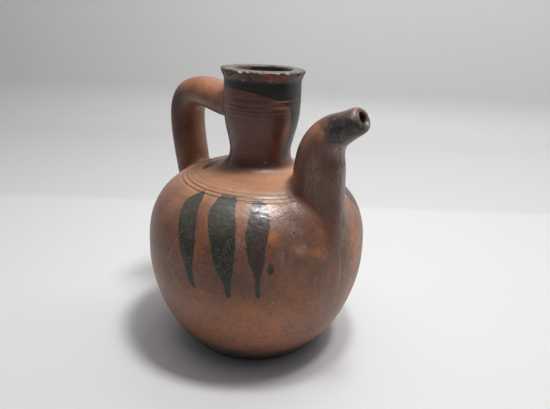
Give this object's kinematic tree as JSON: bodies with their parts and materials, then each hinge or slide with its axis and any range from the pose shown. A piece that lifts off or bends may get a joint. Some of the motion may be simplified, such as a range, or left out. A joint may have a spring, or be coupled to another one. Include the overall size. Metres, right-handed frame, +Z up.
{
  "type": "jug",
  "caption": "Round clay jug with a narrow flared neck, a bent pouring spout on one side and a loop handle on the other.",
  "frame": {"origin": "centre of the flat underside", "axes": "+Z up along the neck, +X towards the spout, -X towards the handle"},
  "size_m": [0.1885, 0.166, 0.21],
  "materials": {
    "clay": "satin, partly glazed"
  },
  "bodies": {
    "root": {"jug": "clay"}
  },
  "joints": []
}
